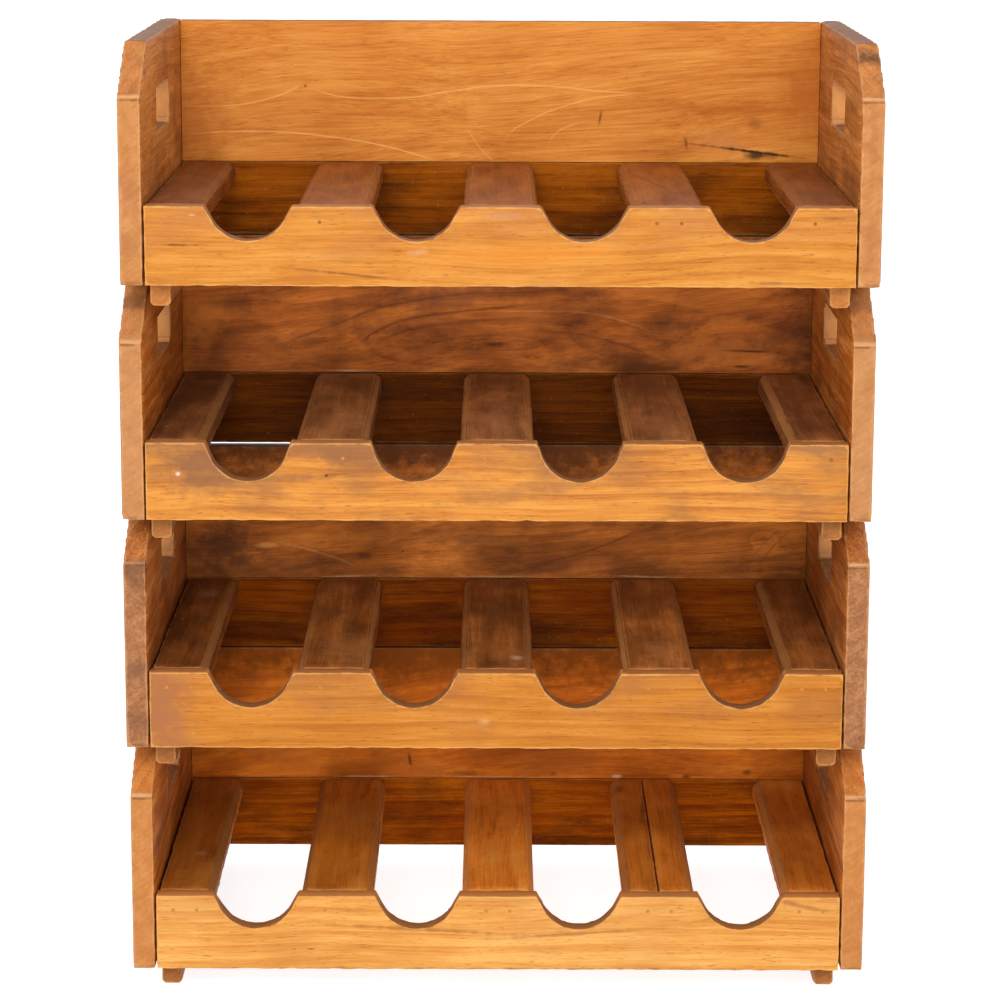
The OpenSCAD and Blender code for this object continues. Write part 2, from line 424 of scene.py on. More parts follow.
# %% The grain group
def make_grain():
    """Builds the group that turns a place in a log into rings, streaks, fibres and pores."""
    tree = bpy.data.node_groups.new("grain", "ShaderNodeTree")
    for name in ("Place", "Log"):
        tree.interface.new_socket(name, in_out="INPUT", socket_type="NodeSocketVector")
    for name in ("Ring width", "Flow", "Swell"):
        tree.interface.new_socket(name, in_out="INPUT", socket_type="NodeSocketFloat")
    for name in ("Rings", "Line", "Streaks", "Fibres", "Pores", "Patches", "Graded_blotches"):
        tree.interface.new_socket(name, in_out="OUTPUT", socket_type="NodeSocketFloat")
    given = tree.nodes.new("NodeGroupInput")
    place = given.outputs["Place"]

    def cloudy(scale, detail, roughness, source):
        """A pattern of soft lumps, 1/scale mm long, wide and thick."""
        sized = lay(tree, "VectorMath", {0: source, 1: scale}, operation="MULTIPLY")
        return lay(tree, "TexNoise", {"Vector": sized.outputs[0], "Scale": 1.0,
                                      "Detail": detail, "Roughness": roughness})

    # The fibres wander slowly, over 150 mm along the board and 60 mm across it
    wander = cloudy((0.0065, 0.016, 0.016), 0.5, 0.4, place)
    centred = lay(tree, "VectorMath", {0: wander.outputs["Color"], 1: (0.5, 0.5, 0.5)},
                  operation="SUBTRACT")
    shift = lay(tree, "VectorMath", {0: centred.outputs[0], "Scale": given.outputs["Flow"]},
                operation="SCALE")
    bent = lay(tree, "VectorMath", {0: place, 1: shift.outputs[0]}, operation="ADD").outputs[0]

    # Rings around the heart of the log, one sawtooth a year
    from_heart = lay(tree, "VectorMath", {0: bent, 1: given.outputs["Log"]}, operation="SUBTRACT")
    across = lay(tree, "VectorMath", {0: from_heart.outputs[0], 1: (0, 1, 1)},
                 operation="MULTIPLY")
    radius = lay(tree, "VectorMath", {0: across.outputs[0]}, operation="LENGTH")
    swollen = lay(tree, "Math", {0: radius.outputs["Value"], 1: given.outputs["Swell"]},
                  operation="ADD")
    years = lay(tree, "Math", {0: swollen.outputs[0], 1: given.outputs["Ring width"]},
                operation="DIVIDE")
    part = lay(tree, "Math", {0: years.outputs[0]}, operation="FRACT")
    rings = lay(tree, "ValToRGB", {"Fac": part.outputs[0]})
    set_ramp(rings, [(0, 0.0), (0.1, 1.0), (0.45, 0.75), (0.9, 0.2), (1, 0.0)])
    line = lay(tree, "ValToRGB", {"Fac": part.outputs[0]})
    set_ramp(line, [(0.0, 0.0), (0.03, 1.0), (0.07, 0.6), (0.12, 0.0)])

    # Streaks about 9 mm wide and fibres about 1.5 mm. Real pores are 0.3 mm wide, too fine to
    # show, so the dashes here are nearly a millimetre
    streaks = cloudy((0.005, 0.11, 0.11), 3.0, 0.55, bent)
    fibres = cloudy((0.016, 0.7, 0.7), 2.5, 0.65, bent)
    dashes = cloudy((0.11, 1.1, 1.1), 1.5, 0.5, bent)
    pores = lay(tree, "MapRange", {"Value": dashes.outputs["Fac"], "From Min": 0.37,
                                   "From Max": 0.27})
    patches = cloudy((0.008, 0.02, 0.022), 4.0, 0.6, place)
    graded_blotches = cloudy((0.014, 0.035, 0.035), 5.0, 0.62, place)

    made = tree.nodes.new("NodeGroupOutput")
    for name, socket in (("Rings", rings.outputs["Color"]), ("Line", line.outputs["Color"]),
                         ("Streaks", streaks.outputs["Fac"]), ("Fibres", fibres.outputs["Fac"]),
                         ("Pores", pores.outputs["Result"]),
                         ("Patches", patches.outputs["Fac"]),
                         ("Graded_blotches", graded_blotches.outputs["Fac"])):
        tree.links.new(socket, made.inputs[name])
    return tree


grain = make_grain()
print("grain group:", len(grain.nodes), "nodes")

# %% [markdown]
# ## Where a point is
#
# Every pattern asks where it is: inside its log, for the grain; on its crate, for marks that
# belong to one board; and which way its face looks, for cut ends. Object coordinates answer all
# three in millimetres, and nothing slides when a crate is lifted off. UV maps could do the same
# for single faces, but grain has to run on round a board's edges.


# %% Where a point is
def find_places(tree, along, turn, crate):
    """Returns what says where a point is: in the grain, on its crate and facing which way."""
    where = lay(tree, "TexCoord")
    log = lay(tree, "Attribute", attribute_name="log").outputs["Vector"]
    local = lay(tree, "VectorMath", {0: where.outputs["Object"], "Scale": 1 / MM},
                operation="SCALE").outputs[0]

    # The grain is turned to lie along X, and the log's axis leans, so flat faces show arches
    place = lay(tree, "VectorMath", {0: local, 1: log}, operation="SUBTRACT").outputs[0]
    grain_turn = (0, 0, -math.pi / 2) if along == "Y" else (0, 0, 0)
    for rotation in (grain_turn, [math.radians(angle) for angle in turn]):
        place = lay(tree, "VectorRotate", {"Vector": place, "Rotation": rotation},
                    rotation_type="EULER_XYZ").outputs[0]
    place = lay(tree, "VectorMath", {0: place, 1: log}, operation="ADD").outputs[0]

    # Marks are measured from the middle of the crate's bottom
    low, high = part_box(crate + "_front_rail")
    bottom = ((low.x + high.x) / 2 / MM, 0, low.z / MM)
    seen = lay(tree, "VectorMath", {0: local, 1: bottom}, operation="SUBTRACT").outputs[0]
    spot = lay(tree, "SeparateXYZ", {0: seen}).outputs
    ragged = lay(tree, "TexNoise", {"Vector": local, "Scale": 0.09, "Detail": 5.0,
                                    "Roughness": 0.65}).outputs["Fac"]
    facing = lay(tree, "SeparateXYZ", {0: where.outputs["Normal"]}).outputs
    return {"along": along, "local": local, "log": log, "grain": place, "seen": seen,
            "across": spot["X"], "height": spot["Z"], "ragged": ragged, "facing": facing,
            "rail top": (high.z - low.z) / MM}


# %% [markdown]
# ## Laying colour on colour
#
# A wood finish is a bare tone with things laid over it. One function lays a colour where a mask
# is. Another adds up several patterns and reads a tone off their sum, which is how streaks,
# fibres and rings mix in real wood: no one of them decides the colour alone.


# %% Laying colour on colour
def paint(tree, under, over, mask, strength=1.0, how="MIX"):
    """Paints one colour over another where the mask is. Sockets 6 and 7 hold the colours."""
    if strength != 1.0:
        mask = lay(tree, "Math", {0: mask, 1: strength}, operation="MULTIPLY").outputs[0]
    return lay(tree, "Mix", {0: mask, 6: under, 7: over}, data_type="RGBA",
               blend_type=how).outputs[2]


def tone_from(tree, patterns, stops):
    """Adds up patterns, each with an amount and a range, and reads a tone off the sum."""
    total = 0.0
    for value, amount, low, high in patterns:
        part = lay(tree, "MapRange", {"Value": value, "From Min": low, "From Max": high,
                                      "To Min": -amount, "To Max": amount})
        total = lay(tree, "Math", {0: total, 1: part.outputs[0]}, operation="ADD").outputs[0]
    choice = lay(tree, "Math", {0: total, 1: 0.5, 2: 0.5}, operation="MULTIPLY_ADD")
    ramp = lay(tree, "ValToRGB", {"Fac": choice.outputs[0]})
    set_ramp(ramp, stops)
    return ramp.outputs["Color"]


# %% [markdown]
# ## Marks and growth lines
#
# Knots, stains, scuffs and checks belong to single boards. Each is an ellipse with a ragged
# outline, with a place, half sizes and a tilt in the board's face. A growth line follows a
# curve through a few places. Both could be painted by hand on a texture, but a mask made from
# places is sharp at any size and goes round the board's edges.


# %% Marks
def in_ellipse(tree, places, at, size, tilt=0):
    """Coordinates in which an ellipse at this place and of this size is a unit ball."""
    off = lay(tree, "VectorMath", {0: places["seen"], 1: at}, operation="SUBTRACT").outputs[0]
    if tilt:
        angle = math.radians(tilt)
        turned = {"X": (0, angle, 0), "Y": (0, 0, angle)}[places["along"]]
        off = lay(tree, "VectorRotate", {"Vector": off, "Rotation": turned},
                  rotation_type="EULER_XYZ").outputs[0]
    return lay(tree, "VectorMath", {0: off, 1: tuple(1 / half for half in size)},
               operation="MULTIPLY").outputs[0]


def mark_mask(tree, places, at, size, tilt=0, ragged_by=0.35):
    """A mask that is 1 in the ellipse's middle and 0 outside its ragged outline."""
    far = lay(tree, "VectorMath", {0: in_ellipse(tree, places, at, size, tilt)},
              operation="LENGTH")
    rough = lay(tree, "MapRange", {"Value": places["ragged"], "From Min": 0.3, "From Max": 0.7,
                                   "To Min": -ragged_by, "To Max": ragged_by})
    total = lay(tree, "Math", {0: far.outputs["Value"], 1: rough.outputs[0]}, operation="ADD")
    return lay(tree, "MapRange", {"Value": total.outputs[0], "From Min": 1.1, "From Max": 0.1},
               interpolation_type="SMOOTHSTEP").outputs[0]


# %% Growth lines
def line_mask(tree, places, path, width, strength):
    """A mask along a line drawn through places (x, z), thin and fading out at both ends."""
    start, end = path[0][0], path[-1][0]
    lowest, highest = min(z for _, z in path), max(z for _, z in path)
    part = lay(tree, "MapRange", {"Value": places["across"], "From Min": start,
                                  "From Max": end})
    curve = lay(tree, "FloatCurve", {"Value": part.outputs[0]})
    points = curve.mapping.curves[0].points
    stops = [((x - start) / (end - start), (z - lowest) / (highest - lowest)) for x, z in path]
    points[0].location, points[1].location = stops[0], stops[-1]
    for stop in stops[1:-1]:
        points.new(*stop)
    curve.mapping.update()
    level = lay(tree, "MapRange", {"Value": curve.outputs[0], "To Min": lowest,
                                   "To Max": highest})
    off = lay(tree, "Math", {0: places["height"], 1: level.outputs[0]}, operation="SUBTRACT")
    off = lay(tree, "Math", {0: off.outputs[0]}, operation="ABSOLUTE")
    thin = lay(tree, "MapRange", {"Value": off.outputs[0], "From Min": width,
                                  "From Max": width * 0.2, "To Max": strength})
    middle = lay(tree, "Math", {0: part.outputs[0], 1: 0.5}, operation="SUBTRACT")
    middle = lay(tree, "Math", {0: middle.outputs[0]}, operation="ABSOLUTE")
    fade = lay(tree, "MapRange", {"Value": middle.outputs[0], "From Min": 0.499,
                                  "From Max": 0.42})
    return lay(tree, "Math", {0: thin.outputs[0], 1: fade.outputs[0]},
               operation="MULTIPLY").outputs[0]


# %% [markdown]
# ## Knots, stains and cuts
#
# A knot is where a branch was: the rings swell round it. Brown blotches thicken towards one
# height: on the back boards and sides towards the bottom, on the front rails towards the top.
# At a cut end the fibres point at the eye, so it drinks more wax, and the saw leaves slanting
# strokes there. Inside the notches the colour darkens from the rim down, chamfers are pale, and
# top edges are grey with handling. Each of these is one layer and has its own function.


# %% Knots and stains
KNOT_REACH = 2.5


def read_grain(tree, places, ring, flow, knots):
    """Reads the grain group at this point. Knots push the rings out of their way."""
    swell = 0.0
    for at, size, lift, _, _ in knots:
        near = in_ellipse(tree, places, at, tuple(half * KNOT_REACH for half in size))
        square = lay(tree, "VectorMath", {0: near, 1: near}, operation="DOT_PRODUCT")
        fall = lay(tree, "Math", {0: square.outputs["Value"], 1: -1.0}, operation="MULTIPLY")
        bump = lay(tree, "Math", {0: fall.outputs[0]}, operation="EXPONENT")
        swell = lay(tree, "Math", {0: bump.outputs[0], 1: lift, 2: swell},
                    operation="MULTIPLY_ADD").outputs[0]
    return lay(tree, "Group", {"Place": places["grain"], "Log": places["log"],
                               "Ring width": ring, "Flow": flow, "Swell": swell},
               node_tree=grain).outputs


def lay_graded_blotches(tree, places, figure, colour, graded_blotches):
    """Lays brown blotches, which thicken from the first height to the second."""
    tone, strength, thin_at, thick_at = graded_blotches
    thick = lay(tree, "MapRange", {"Value": places["height"], "From Min": thin_at,
                                   "From Max": thick_at, "To Min": 0.08, "To Max": -0.08})
    lifted = lay(tree, "Math", {0: figure["Graded_blotches"], 1: thick.outputs[0]}, operation="SUBTRACT")
    amount = lay(tree, "MapRange", {"Value": lifted.outputs[0], "From Min": 0.45,
                                    "From Max": 0.65, "To Max": strength})
    return paint(tree, colour, tone, amount.outputs[0])


# %% Cut ends
def cut_ends(tree, places, colour, ends, specks):
    """Paints the cut ends. Returns the colour, the ends' mask and the saw's strokes."""
    local = places["local"]
    end_on = lay(tree, "Math", {0: places["facing"][places["along"]]}, operation="ABSOLUTE")
    is_end = lay(tree, "MapRange", {"Value": end_on.outputs[0], "From Min": 0.45,
                                    "From Max": 0.65}).outputs[0]
    speck = lay(tree, "TexNoise", {"Vector": local, "Scale": 0.5, "Detail": 5.0,
                                   "Roughness": 0.75})
    slanted = lay(tree, "VectorRotate", {"Vector": local, "Rotation": (0, math.radians(35), 0)},
                  rotation_type="EULER_XYZ")
    strokes_at = lay(tree, "VectorMath", {0: slanted.outputs[0], 1: (0.04, 0.05, 0.45)},
                     operation="MULTIPLY")
    strokes = lay(tree, "TexNoise", {"Vector": strokes_at.outputs[0], "Scale": 1.0,
                                     "Detail": 4.0, "Roughness": 0.65}).outputs["Fac"]
    tone = tone_from(tree, ((speck.outputs["Fac"], specks, 0.3, 0.7), (strokes, 0.25, 0.3, 0.7),
                            (places["ragged"], 0.35, 0.3, 0.7)),
                     ((0.05, ends[0]), (0.5, ends[1]), (0.9, ends[2])))
    return paint(tree, colour, tone, is_end), is_end, strokes


# %% Notches, chamfers and top edges
def facing_along(tree, places, axis, start, end, strength):
    """A mask for faces that look along an axis, either way, by how much their normal does."""
    share = lay(tree, "Math", {0: places["facing"][axis]}, operation="ABSOLUTE").outputs[0]
    return lay(tree, "MapRange", {"Value": share, "From Min": start, "From Max": end,
                                  "To Min": 0.0, "To Max": strength}).outputs[0]


def handled_faces(tree, places, figure, colour, cut, chamfer, top):
    """Paints faces that were cut or handled differently, each only where it is given."""
    grime = "#2a160a"
    grey = lay(tree, "MapRange", {"Value": figure["Streaks"], "From Min": 0.3, "From Max": 0.7,
                                  "To Min": -0.3, "To Max": 0.3}).outputs[0]
    if cut:
        rim, deep_tone, strength = cut
        # Inside the notches the colour goes from the rim tone to the deep tone, 2 to 10 mm below
        # the rail's top
        deep = lay(tree, "MapRange", {"Value": places["height"],
                                      "From Min": places["rail top"] - 2,
                                      "From Max": places["rail top"] - 10})
        rim_down_to_deep = paint(tree, rim, deep_tone, deep.outputs[0])
        colour = paint(tree, colour, paint(tree, rim_down_to_deep, grime, grey),
                       facing_along(tree, places, "Y", 0.55, 0.25, strength))
    if chamfer:
        slope = lay(tree, "Math", {0: facing_along(tree, places, "X", 0.4, 0.6, 1.0),
                                   1: facing_along(tree, places, "Z", 0.4, 0.6, chamfer[1])},
                    operation="MULTIPLY")
        colour = paint(tree, colour, chamfer[0], slope.outputs[0])
    if top:
        upper = lay(tree, "MapRange", {"Value": places["facing"]["Z"], "From Min": 0.86,
                                       "From Max": 0.95, "To Max": top[1]})
        colour = paint(tree, colour, paint(tree, top[0], grime, grey), upper.outputs[0])
    return colour


# %% [markdown]
# ## Wear and wax
#
# Old dust sits in the wax as pale flecks. The edges are pale in broken stretches: partly hands
# have rubbed them down to lighter wood, partly it is a painted highlight where light catches them.
# Beeswax on hardwood is a satin coat: a roughness near 0.45, less where it is handled, more on cut
# ends that soak it up. Its IOR is about 1.45. Pores, fibres and saw strokes are shallow, so bump
# is enough for them.


# %% Wear and wax
GLOSS, DULL_END, RELIEF = 0.5, 0.3, 0.5 * MM


def dust(tree, places, colour, amount):
    """Adds pale flecks of old dust and small scuffs, a millimetre or two long."""
    specks = lay(tree, "TexNoise", {"Vector": places["local"], "Scale": 0.33, "Detail": 2.0,
                                    "Roughness": 0.5})
    fleck = lay(tree, "MapRange", {"Value": specks.outputs["Fac"], "From Min": 0.68,
                                   "From Max": 0.76, "To Max": amount})
    return paint(tree, colour, "#d8a880", fleck.outputs[0])


def tone_and_pale_edges(tree, places, colour, edge, rub_and_highlight):
    """Takes the board's own tone, and paints its edges pale in broken stretches: partly rubbed
    wear, partly painted highlight.
    """
    tone = lay(tree, "Attribute", attribute_name="tone")
    colour = lay(tree, "VectorMath", {0: colour, "Scale": tone.outputs["Fac"]},
                 operation="SCALE").outputs[0]
    edge_value = lay(tree, "Attribute", attribute_name="wear_and_edge_highlight")
    broken = lay(tree, "MapRange", {"Value": places["ragged"], "From Min": 0.35,
                                    "From Max": 0.65, "To Min": 0.95, "To Max": 0.6})
    over_edge = lay(tree, "Math", {0: edge_value.outputs["Fac"], 1: broken.outputs[0]},
                    operation="SUBTRACT")
    pale_edges = lay(tree, "MapRange", {"Value": over_edge.outputs[0], "From Min": 0.0,
                                    "From Max": 0.2, "To Min": 0.0, "To Max": rub_and_highlight})
    return paint(tree, colour, edge, pale_edges.outputs[0])


def wax_over(tree, figure, colour, is_end, strokes, wax):
    """Puts the satin wax over the finished colour, with the relief of pores and strokes."""
    relief = lay(tree, "Math", {0: figure["Pores"], 1: -0.5, 2: figure["Fibres"]},
                 operation="MULTIPLY_ADD")
    relief = lay(tree, "Math", {0: is_end, 1: strokes, 2: relief.outputs[0]},
                 operation="MULTIPLY_ADD")
    bump = lay(tree, "Bump", {"Height": relief.outputs[0], "Strength": 0.3, "Distance": RELIEF})
    sheen = lay(tree, "MapRange", {"Value": figure["Patches"], "From Min": 0.3, "From Max": 0.7,
                                   "To Min": GLOSS + 0.1, "To Max": GLOSS - 0.06})
    dull = lay(tree, "Math", {0: is_end, 1: DULL_END, 2: sheen.outputs[0]},
               operation="MULTIPLY_ADD")
    surface = lay(tree, "BsdfPrincipled", {"Base Color": colour, "Roughness": dull.outputs[0],
                                           "Normal": bump.outputs[0], "IOR": 1.45,
                                           "Specular IOR Level": wax})
    lay(tree, "OutputMaterial", {"Surface": surface.outputs[0]})


# %% [markdown]
# ## Waxed hardwood
#
# One function makes the finish of any board from these layers. It starts from three tones of
# the bare wood: the dark late wood, the body and the pale early wood. The layers then go on in
# the order in which they came to a real board: what grew, what was sawn, what happened, the wax.


# %% The waxed wood finish
def wood(name, along, tones, crate, ring=8.0, flow=10.0, turn=(0, 0, 0), rings=0.3, line=0.0,
         streaks=0.45, fibres=0.5, pores=0.5, patches=0.5, knots=(), lines=(), graded_blotches=None,
         ends=("#8a5230", "#bd7c48", "#cc9058"), end_specks=0.2, marks=(), flecks=0.1,
         cut=None, chamfer=None, top=None, edge="#c8924f", rub_and_highlight=0.6, wax=0.2):
    """Makes one finish. along is the grain's axis; marks are measured from the crate's bottom."""
    finish = bpy.data.materials.new(name)
    finish.use_nodes = True
    tree = finish.node_tree
    tree.nodes.clear()
    places = find_places(tree, along, turn, crate)
    figure = read_grain(tree, places, ring, flow, knots)
    colour = tone_from(tree, ((figure["Rings"], rings, 0.0, 1.0),
                              (figure["Streaks"], streaks, 0.3, 0.7),
                              (figure["Fibres"], fibres, 0.3, 0.7),
                              (figure["Patches"], patches, 0.3, 0.7)),
                       ((0.1, tones[0]), (0.5, tones[1]), (0.9, tones[2])))
    if line:
        colour = paint(tree, colour, edge, figure["Line"], line)
    colour = paint(tree, colour, "#9a7058", figure["Pores"], pores, how="MULTIPLY")
    for line_tone, strength, width, path in lines:
        colour = paint(tree, colour, line_tone, line_mask(tree, places, path, width, strength))
    for at, size, _, knot_tone, strength in knots:
        mask = mark_mask(tree, places, at, size, ragged_by=0.3)
        colour = paint(tree, colour, knot_tone, mask, strength)
    if graded_blotches:
        colour = lay_graded_blotches(tree, places, figure, colour, graded_blotches)
    colour, is_end, strokes = cut_ends(tree, places, colour, ends, end_specks)
    for at, size, tilt, mark_tone, strength in marks:
        mask = mark_mask(tree, places, at, size, tilt)
        colour = paint(tree, colour, mark_tone, mask, strength)
    colour = dust(tree, places, colour, flecks)
    colour = handled_faces(tree, places, figure, colour, cut, chamfer, top)
    colour = tone_and_pale_edges(tree, places, colour, edge, rub_and_highlight)
    wax_over(tree, figure, colour, is_end, strokes, wax)
    return finish


def on_face(rows, depth, thick):
    """Gives marks drawn in a board's upright face their depth in the board.

    A row is a place (x, z), half sizes along and up, what else the mark has, and a strength.
    """
    return [((x, depth, z), (long, thick, high), *rest) for x, z, long, high, *rest in rows]


# %% [markdown]
# ## Front rails
#
# A front rail is a 16 mm board with four round notches sawn from its top edge. The notch is an
# arc that runs out into two straight flanks. A cylinder has the arc already, so the cutter is a
# cylinder whose top is sliced off where the arc has turned far enough, and then extruded and
# widened along the flanks. Each crate's notches are a millimetre or more deeper or shallower
# than the next one's, so every rail is sawn by its own cutters.

# %% Four front rails
NOTCHES = 4
NOTCH_PITCH = 123.5 * MM
NOTCH_RADIUS = 30 * MM
CUTTER_LONG = 40 * MM
RAIL_CELLS, RAIL_EASE = (4 * MM, 5.4 * MM, 5 * MM), 1.0 * MM
# The arc runs this many degrees on above the points where the flanks leave it
ARC_PAST_FLANK = 4
# How deep each crate's notches are, and how steeply their flanks rise
NOTCH_DEPTH = {"crate_1": 26 * MM, "crate_2": 27 * MM, "crate_3": 29 * MM, "crate_4": 25.5 * MM}
FLANK = {"crate_1": 61, "crate_2": 63, "crate_3": 68, "crate_4": 60}


def notch_cutter(x, y, top, depth, flank):
    """A cylinder along Y whose upper part flares out along the notch's flanks."""
    clear_bench()
    centre_z = top - depth + NOTCH_RADIUS
    turn = math.radians(flank + ARC_PAST_FLANK)
    bpy.ops.mesh.primitive_cylinder_add(vertices=96, radius=NOTCH_RADIUS, depth=CUTTER_LONG,
                                        location=(x, y, centre_z), rotation=(math.pi / 2, 0, 0))
    cutter = bpy.context.object
    bpy.ops.object.transform_apply(location=True, rotation=True, scale=True)
    bpy.ops.object.mode_set(mode="EDIT")
    leave = centre_z - NOTCH_RADIUS * math.cos(turn)
    score(cutter, (x, 0, leave), (0, 0, 1), clear=True)
    mark_faces(cutter, lambda middle, normal: normal.z > 0.99 and middle.z > leave - MM)
    rise = top + MM - leave
    half = NOTCH_RADIUS * math.sin(turn)
    widen = (half + rise / math.tan(math.radians(flank))) / half
    bpy.ops.mesh.extrude_region_move(TRANSFORM_OT_translate={"value": (0, 0, rise)})
    bpy.ops.transform.resize(value=(widen, 1, 1), center_override=(x, 0, top))
    clear_bench()
    return cutter


rails = {}
for crate in CRATES:
    low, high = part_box(crate + "_front_rail")
    rail = sawn_block(crate + "_front_rail_board", low, high)
    clear_bench()
    middle = (low + high) / 2
    for k in range(NOTCHES):
        notch_x = middle.x + (k - (NOTCHES - 1) / 2) * NOTCH_PITCH
        cut_away(rail, notch_cutter(notch_x, middle.y, high.z, NOTCH_DEPTH[crate], FLANK[crate]))
    pick_up(rail)
    bpy.ops.object.mode_set(mode="EDIT")
    ease(rail, RAIL_EASE)
    rule(rail, RAIL_CELLS)
    clear_bench()
    rails[crate] = rail
    print(rail.name, len(rail.data.polygons), "faces")

# %% [markdown]
# The four rails differ in colour: the lowest is honey, the next carries a purple-brown stain at
# its left, the third has a smoky corner, and the top one is bright orange in its middle with
# fine checks. The notches' inner faces are dark where the saw burnt them.

# %% Front rail finishes
RAIL_TONES = {
    "crate_1": ("#b06f2a", "#c1843b", "#cb954e"),
    "crate_2": ("#985610", "#a86518", "#b5742a"),
    "crate_3": ("#96561c", "#b06d26", "#bf7f32"),
    "crate_4": ("#9c5812", "#af6d20", "#ba7d32"),
}
RAIL_GRADED_BLOTCHES = {
    "crate_1": ("#9a6132", 0.25, 10, 60),
    "crate_2": ("#885229", 0.5, 15, 60),
    "crate_3": ("#7c4f2e", 0.75, 15, 60),
    "crate_4": ("#9a5e30", 0.45, 20, 60),
}
# The tone of each rail's top edge, and of the inside of its notches
RAIL_CUTS = {"crate_1": ("#ae6c38", "#8a5832"), "crate_2": ("#9c6234", "#7c5032"),
             "crate_3": ("#9c6234", "#7c5032"), "crate_4": ("#9c6234", "#7c5032")}
# Each mark is a place (x, z), half sizes along and up, a tilt in degrees, a colour and a strength
RAIL_FACE, RAIL_DEEP = -165, 9
RAIL_MARKS = {
    "crate_1": [(235, 52, 30, 3, -12, "#78441c", 0.6),
                (180, 47, 40, 1.6, 14, "#864e1e", 0.5),
                (-60, 33, 95, 2.0, -3, "#8f5a24", 0.8),
                (60, 30, 90, 2.0, 4, "#8f5a24", 0.7),
                (-143, 17, 4, 0.7, 0, "#40220c", 0.9),
                (-156, 17, 2.5, 0.6, 0, "#40220c", 0.8),
                (0, 1, 262, 1.6, 0, "#7c4e22", 0.7)],
    "crate_2": [(-256, 30, 34, 90, 0, "#8f5733", 0.9),
                (-8, 22, 7, 4, 0, "#c08f5e", 0.5),
                (0, 1, 262, 1.6, 0, "#c48b45", 0.5)],
    "crate_3": [(-222, 40, 38, 25, 0, "#7a4e2e", 0.9),
                (-165, 33, 75, 4, 2, "#7c4e2a", 0.6),
                (-237, 36, 3, 2.5, 0, "#d2bda8", 0.8),
                (-118, 36, 10, 0.9, 4, "#4e2910", 0.7),
                (-127, 35, 1.6, 1.6, 0, "#321707", 0.9),
                (-120, 52, 38, 10, 0, "#7c4e2c", 0.6)],
    "crate_4": [(-237, 31, 24, 1.1, 0, "#5d2d0d", 0.85),
                (-115, 10, 60, 1.5, -6, "#784014", 0.8),
                (-226, 53, 4, 1.2, 0, "#cbaf93", 0.4),
                (0, 53, 16, 1.3, 3, "#9a6f68", 0.6),
                (244, 52, 10, 1.4, 0, "#6a4025", 0.7),
                (205, 4, 26, 1.5, 0, "#6a402c", 0.6),
                (-60, 26, 10, 4, 10, "#c08b61", 0.5),
                (20, 24, 95, 10, 2, "#bd6f17", 0.5)],
}
for crate in CRATES:
    finish = wood("waxed_rail_" + crate[-1], "X", RAIL_TONES[crate], crate, line=0.1, flow=14,
                  graded_blotches=RAIL_GRADED_BLOTCHES[crate], marks=on_face(RAIL_MARKS[crate], RAIL_FACE, RAIL_DEEP),
                  cut=RAIL_CUTS[crate] + (0.9,), rub_and_highlight=0.5)
    node = crate + "_front_rail"
    wear_and_edge_highlight(rails[crate], node)
    hand_over(rails[crate], node, finish, log=(0, 45, -60))
print("four rails finished")

# %% [markdown]
# ## Back rails and back boards
#
# The back is two boards: a low rail that holds the slats' ends, and a wide thin board above it
# that closes the bay. Both are plain boards, so each is modelled once, eased, scored and
# copied to the other crates. On one of them a waney corner leaves a gap that light comes
# through. Its top edge is lowered there by moving points with a soft falloff, as bark leaves it.

# %% A waney corner
WANE_DEEP, WANE_ENDS, WANE_FADE = 2.3 * MM, -165 * MM, 35 * MM


def wane_corner(board, top):
    """Lowers the left end of the board's top edge, fading out along it."""
    pick_up(board)
    bpy.ops.object.mode_set(mode="EDIT")
    bpy.ops.mesh.select_mode(type="VERT")
    bpy.ops.mesh.select_all(action="DESELECT")
    shape = bmesh.from_edit_mesh(board.data)
    for vertex in shape.verts:
        vertex.select_set(vertex.co.z > top - 2 * MM and vertex.co.x < WANE_ENDS)
    bmesh.update_edit_mesh(board.data)
    bpy.ops.transform.translate(value=(0, 0, -WANE_DEEP), use_proportional_edit=True,
                                proportional_edit_falloff="SMOOTH",
                                proportional_size=WANE_FADE)
    clear_bench()


# %% Tones and knots of the back
PANEL_TONES = {
    "crate_1": ("#8e3a02", "#bf6210", "#e17e20"),
    "crate_2": ("#743c10", "#ad601f", "#d47e31"),
    "crate_3": ("#73380c", "#ac5d20", "#ce752b"),
    "crate_4": ("#9a4c12", "#be742c", "#d39042"),
}
# The back rails' tones are darkened with painted shade, for the shade low at the back of each bay
BACK_RAIL_SHADED_TONES = {
    "crate_1": ("#6e2b00", "#853d00", "#a35203"),
    "crate_2": ("#5a2200", "#6e3001", "#804002"),
    "crate_3": ("#401800", "#502401", "#643002"),
    "crate_4": ("#622c00", "#7c3c02", "#8e4a08"),
}
# The back rails' tones above carry painted shade of the bay; their outside is out of that shade
# and paler by this factor
BACK_RAIL_UNSHADED_OUTSIDE = {"crate_1": 1.6, "crate_2": 2.2, "crate_3": 3.2, "crate_4": 1.8}
PANEL_FIGURE = {
    "crate_1": dict(ring=10, flow=30, rings=0.2, streaks=0.35, fibres=0.3,
                    graded_blotches=("#7a3c10", 0.5, 175, 90)),
    "crate_2": dict(ring=8, flow=34, rings=0.2, streaks=0.35, fibres=0.3,
                    graded_blotches=("#5a3014", 0.7, 150, 60)),
    "crate_3": dict(ring=7, flow=36, rings=0.22, streaks=0.35, fibres=0.3,
                    graded_blotches=("#5a2c10", 0.7, 150, 60)),
    "crate_4": dict(ring=19, flow=24, rings=0.1, streaks=0.25, fibres=0.35, pores=0.35,
                    patches=0.3),
}
PANEL_FACE, PANEL_DEEP = 149, 20
